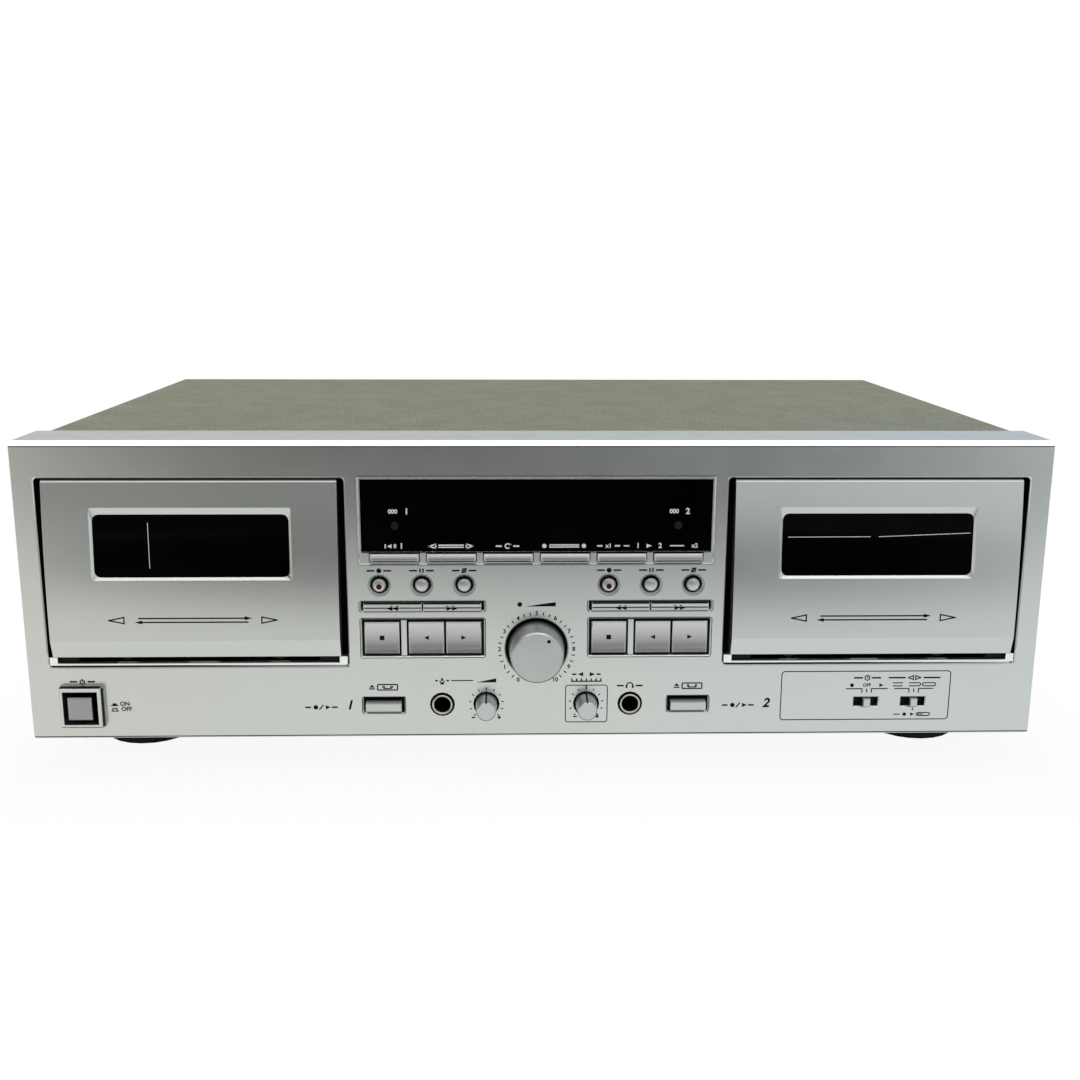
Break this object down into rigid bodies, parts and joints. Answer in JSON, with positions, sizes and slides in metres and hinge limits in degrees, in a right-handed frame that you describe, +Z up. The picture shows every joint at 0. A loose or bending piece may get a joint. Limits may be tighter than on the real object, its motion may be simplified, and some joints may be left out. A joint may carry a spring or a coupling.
{
  "type": "double cassette deck",
  "caption": "Full-width double cassette deck with two swinging doors, keys, a display window, a large level knob and sockets.",
  "frame": {"origin": "middle of the whole box, on the plane that the feet stand on", "axes": "+X to the right seen from the front, +Y from the front panel to the rear panel, +Z up"},
  "size_m": [0.435, 0.2888, 0.1448],
  "materials": {
    "silver_panel": "satin silver",
    "silver_button": "satin silver",
    "knob_metal": "fine satin",
    "smoked_acrylic": "polished",
    "black_plastic": "moulded",
    "socket_plastic": "moulded",
    "cover_paint": "fine texture",
    "zinc_steel": "zinc plated",
    "circuit_board": "lacquered",
    "core_steel": "varnished laminations",
    "foot_plastic": "moulded"
  },
  "bodies": {
    "cabinet": {"front_panel": "silver_panel", "display_window": "smoked_acrylic", "left_tape_mechanism": "black_plastic", "right_tape_mechanism": "black_plastic", "microphone_jack": "socket_plastic", "headphone_jack": "socket_plastic", "top_cover": "cover_paint", "bottom_chassis": "zinc_steel", "rear_panel": "cover_paint", "mains_inlet": "socket_plastic", "circuit_boards": "circuit_board", "power_transformer": "core_steel", "foot_front_left": "foot_plastic", "foot_rear_left": "foot_plastic", "foot_front_right": "foot_plastic", "foot_rear_right": "foot_plastic"},
    "left_door": {"left_door_panel": "silver_panel", "left_door_window": "smoked_acrylic", "left_cassette_holder": "black_plastic"},
    "left_head_carriage": {"left_head_carriage": "zinc_steel"},
    "left_supply_spindle": {"left_supply_spindle": "black_plastic"},
    "left_takeup_spindle": {"left_takeup_spindle": "black_plastic"},
    "left_record_button": {"left_record_button": "silver_button"},
    "left_pause_button": {"left_pause_button": "silver_button"},
    "left_mute_button": {"left_mute_button": "silver_button"},
    "left_rewind_key": {"left_rewind_key": "silver_button"},
    "left_fast_forward_key": {"left_fast_forward_key": "silver_button"},
    "left_stop_key": {"left_stop_key": "silver_button"},
    "left_reverse_key": {"left_reverse_key": "silver_button"},
    "left_play_key": {"left_play_key": "silver_button"},
    "left_eject_button": {"left_eject_button": "silver_button"},
    "left_counter_button": {"left_counter_button": "black_plastic"},
    "right_door": {"right_door_panel": "silver_panel", "right_door_window": "smoked_acrylic", "right_cassette_holder": "black_plastic"},
    "right_head_carriage": {"right_head_carriage": "zinc_steel"},
    "right_supply_spindle": {"right_supply_spindle": "black_plastic"},
    "right_takeup_spindle": {"right_takeup_spindle": "black_plastic"},
    "right_record_button": {"right_record_button": "silver_button"},
    "right_pause_button": {"right_pause_button": "silver_button"},
    "right_mute_button": {"right_mute_button": "silver_button"},
    "right_rewind_key": {"right_rewind_key": "silver_button"},
    "right_fast_forward_key": {"right_fast_forward_key": "silver_button"},
    "right_stop_key": {"right_stop_key": "silver_button"},
    "right_reverse_key": {"right_reverse_key": "silver_button"},
    "right_play_key": {"right_play_key": "silver_button"},
    "right_eject_button": {"right_eject_button": "silver_button"},
    "right_counter_button": {"right_counter_button": "black_plastic"},
    "function_key_1": {"function_key_1": "silver_button"},
    "function_key_2": {"function_key_2": "silver_button"},
    "function_key_3": {"function_key_3": "silver_button"},
    "function_key_4": {"function_key_4": "silver_button"},
    "function_key_5": {"function_key_5": "silver_button"},
    "function_key_6": {"function_key_6": "silver_button"},
    "power_button": {"power_button": "silver_button"},
    "record_level_knob": {"record_level_knob": "knob_metal"},
    "microphone_level_knob": {"microphone_level_knob": "knob_metal"},
    "pitch_knob": {"pitch_knob": "knob_metal"},
    "timer_switch_lever": {"timer_switch_lever": "silver_button"},
    "reverse_mode_lever": {"reverse_mode_lever": "silver_button"}
  },
  "joints": [
    {"name": "left_door_hinge", "type": "hinge", "parent": "cabinet", "child": "left_door", "pos_m": [-0.14465, -0.12935, 0.05], "axis": [1, 0, 0], "range_deg": [0, 25]},
    {"name": "left_head_lift", "type": "slide", "parent": "cabinet", "child": "left_head_carriage", "axis": [0, 0, 1], "range_m": [0, 0.008], "stiffness_N_per_m": 60, "springref_m": -0.004},
    {"name": "left_supply_spindle_turn", "type": "hinge", "parent": "cabinet", "child": "left_supply_spindle", "pos_m": [-0.1659, -0.11085, 0.092], "axis": [0, 1, 0], "continuous": true},
    {"name": "left_takeup_spindle_turn", "type": "hinge", "parent": "cabinet", "child": "left_takeup_spindle", "pos_m": [-0.1234, -0.11085, 0.092], "axis": [0, 1, 0], "continuous": true},
    {"name": "left_record_button_press", "type": "slide", "parent": "cabinet", "child": "left_record_button", "axis": [0, 1, 0], "range_m": [0, 0.0015], "stiffness_N_per_m": 900, "springref_m": -0.0005},
    {"name": "left_pause_button_press", "type": "slide", "parent": "cabinet", "child": "left_pause_button", "axis": [0, 1, 0], "range_m": [0, 0.0015], "stiffness_N_per_m": 900, "springref_m": -0.0005},
    {"name": "left_mute_button_press", "type": "slide", "parent": "cabinet", "child": "left_mute_button", "axis": [0, 1, 0], "range_m": [0, 0.0015], "stiffness_N_per_m": 900, "springref_m": -0.0005},
    {"name": "left_rewind_key_press", "type": "slide", "parent": "cabinet", "child": "left_rewind_key", "axis": [0, 1, 0], "range_m": [0, 0.0015], "stiffness_N_per_m": 900, "springref_m": -0.0005},
    {"name": "left_fast_forward_key_press", "type": "slide", "parent": "cabinet", "child": "left_fast_forward_key", "axis": [0, 1, 0], "range_m": [0, 0.0015], "stiffness_N_per_m": 900, "springref_m": -0.0005},
    {"name": "left_stop_key_press", "type": "slide", "parent": "cabinet", "child": "left_stop_key", "axis": [0, 1, 0], "range_m": [0, 0.0015], "stiffness_N_per_m": 900, "springref_m": -0.0005},
    {"name": "left_reverse_key_press", "type": "slide", "parent": "cabinet", "child": "left_reverse_key", "axis": [0, 1, 0], "range_m": [0, 0.0015], "stiffness_N_per_m": 900, "springref_m": -0.0005},
    {"name": "left_play_key_press", "type": "slide", "parent": "cabinet", "child": "left_play_key", "axis": [0, 1, 0], "range_m": [0, 0.0015], "stiffness_N_per_m": 900, "springref_m": -0.0005},
    {"name": "left_eject_button_press", "type": "slide", "parent": "cabinet", "child": "left_eject_button", "axis": [0, 1, 0], "range_m": [0, 0.0015], "stiffness_N_per_m": 900, "springref_m": -0.0005},
    {"name": "left_counter_button_press", "type": "slide", "parent": "cabinet", "child": "left_counter_button", "axis": [0, 1, 0], "range_m": [0, 0.0015], "stiffness_N_per_m": 900, "springref_m": -0.0005},
    {"name": "right_door_hinge", "type": "hinge", "parent": "cabinet", "child": "right_door", "pos_m": [0.14465, -0.12935, 0.05], "axis": [1, 0, 0], "range_deg": [0, 25]},
    {"name": "right_head_lift", "type": "slide", "parent": "cabinet", "child": "right_head_carriage", "axis": [0, 0, 1], "range_m": [0, 0.008], "stiffness_N_per_m": 60, "springref_m": -0.004},
    {"name": "right_supply_spindle_turn", "type": "hinge", "parent": "cabinet", "child": "right_supply_spindle", "pos_m": [0.1234, -0.11085, 0.092], "axis": [0, 1, 0], "continuous": true},
    {"name": "right_takeup_spindle_turn", "type": "hinge", "parent": "cabinet", "child": "right_takeup_spindle", "pos_m": [0.1659, -0.11085, 0.092], "axis": [0, 1, 0], "continuous": true},
    {"name": "right_record_button_press", "type": "slide", "parent": "cabinet", "child": "right_record_button", "axis": [0, 1, 0], "range_m": [0, 0.0015], "stiffness_N_per_m": 900, "springref_m": -0.0005},
    {"name": "right_pause_button_press", "type": "slide", "parent": "cabinet", "child": "right_pause_button", "axis": [0, 1, 0], "range_m": [0, 0.0015], "stiffness_N_per_m": 900, "springref_m": -0.0005},
    {"name": "right_mute_button_press", "type": "slide", "parent": "cabinet", "child": "right_mute_button", "axis": [0, 1, 0], "range_m": [0, 0.0015], "stiffness_N_per_m": 900, "springref_m": -0.0005},
    {"name": "right_rewind_key_press", "type": "slide", "parent": "cabinet", "child": "right_rewind_key", "axis": [0, 1, 0], "range_m": [0, 0.0015], "stiffness_N_per_m": 900, "springref_m": -0.0005},
    {"name": "right_fast_forward_key_press", "type": "slide", "parent": "cabinet", "child": "right_fast_forward_key", "axis": [0, 1, 0], "range_m": [0, 0.0015], "stiffness_N_per_m": 900, "springref_m": -0.0005},
    {"name": "right_stop_key_press", "type": "slide", "parent": "cabinet", "child": "right_stop_key", "axis": [0, 1, 0], "range_m": [0, 0.0015], "stiffness_N_per_m": 900, "springref_m": -0.0005},
    {"name": "right_reverse_key_press", "type": "slide", "parent": "cabinet", "child": "right_reverse_key", "axis": [0, 1, 0], "range_m": [0, 0.0015], "stiffness_N_per_m": 900, "springref_m": -0.0005},
    {"name": "right_play_key_press", "type": "slide", "parent": "cabinet", "child": "right_play_key", "axis": [0, 1, 0], "range_m": [0, 0.0015], "stiffness_N_per_m": 900, "springref_m": -0.0005},
    {"name": "right_eject_button_press", "type": "slide", "parent": "cabinet", "child": "right_eject_button", "axis": [0, 1, 0], "range_m": [0, 0.0015], "stiffness_N_per_m": 900, "springref_m": -0.0005},
    {"name": "right_counter_button_press", "type": "slide", "parent": "cabinet", "child": "right_counter_button", "axis": [0, 1, 0], "range_m": [0, 0.0015], "stiffness_N_per_m": 900, "springref_m": -0.0005},
    {"name": "function_key_1_press", "type": "slide", "parent": "cabinet", "child": "function_key_1", "axis": [0, 1, 0], "range_m": [0, 0.0015], "stiffness_N_per_m": 900, "springref_m": -0.0005},
    {"name": "function_key_2_press", "type": "slide", "parent": "cabinet", "child": "function_key_2", "axis": [0, 1, 0], "range_m": [0, 0.0015], "stiffness_N_per_m": 900, "springref_m": -0.0005},
    {"name": "function_key_3_press", "type": "slide", "parent": "cabinet", "child": "function_key_3", "axis": [0, 1, 0], "range_m": [0, 0.0015], "stiffness_N_per_m": 900, "springref_m": -0.0005},
    {"name": "function_key_4_press", "type": "slide", "parent": "cabinet", "child": "function_key_4", "axis": [0, 1, 0], "range_m": [0, 0.0015], "stiffness_N_per_m": 900, "springref_m": -0.0005},
    {"name": "function_key_5_press", "type": "slide", "parent": "cabinet", "child": "function_key_5", "axis": [0, 1, 0], "range_m": [0, 0.0015], "stiffness_N_per_m": 900, "springref_m": -0.0005},
    {"name": "function_key_6_press", "type": "slide", "parent": "cabinet", "child": "function_key_6", "axis": [0, 1, 0], "range_m": [0, 0.0015], "stiffness_N_per_m": 900, "springref_m": -0.0005},
    {"name": "power_button_press", "type": "slide", "parent": "cabinet", "child": "power_button", "axis": [0, 1, 0], "range_m": [0, 0.004], "stiffness_N_per_m": 500, "springref_m": -0.002},
    {"name": "record_level_knob_turn", "type": "hinge", "parent": "cabinet", "child": "record_level_knob", "pos_m": [0, -0.13085, 0.05465], "axis": [0, 1, 0], "range_deg": [-184, 116]},
    {"name": "microphone_level_knob_turn", "type": "hinge", "parent": "cabinet", "child": "microphone_level_knob", "pos_m": [-0.0217, -0.13085, 0.0295], "axis": [0, 1, 0], "range_deg": [-150, 150]},
    {"name": "pitch_knob_turn", "type": "hinge", "parent": "cabinet", "child": "pitch_knob", "pos_m": [0.0217, -0.13085, 0.0295], "axis": [0, 1, 0], "range_deg": [-150, 150]},
    {"name": "timer_switch_lever_slide", "type": "slide", "parent": "cabinet", "child": "timer_switch_lever", "axis": [1, 0, 0], "range_m": [-0.0021, 0.0021]},
    {"name": "reverse_mode_lever_slide", "type": "slide", "parent": "cabinet", "child": "reverse_mode_lever", "axis": [1, 0, 0], "range_m": [-0.0021, 0.0021]}
  ]
}
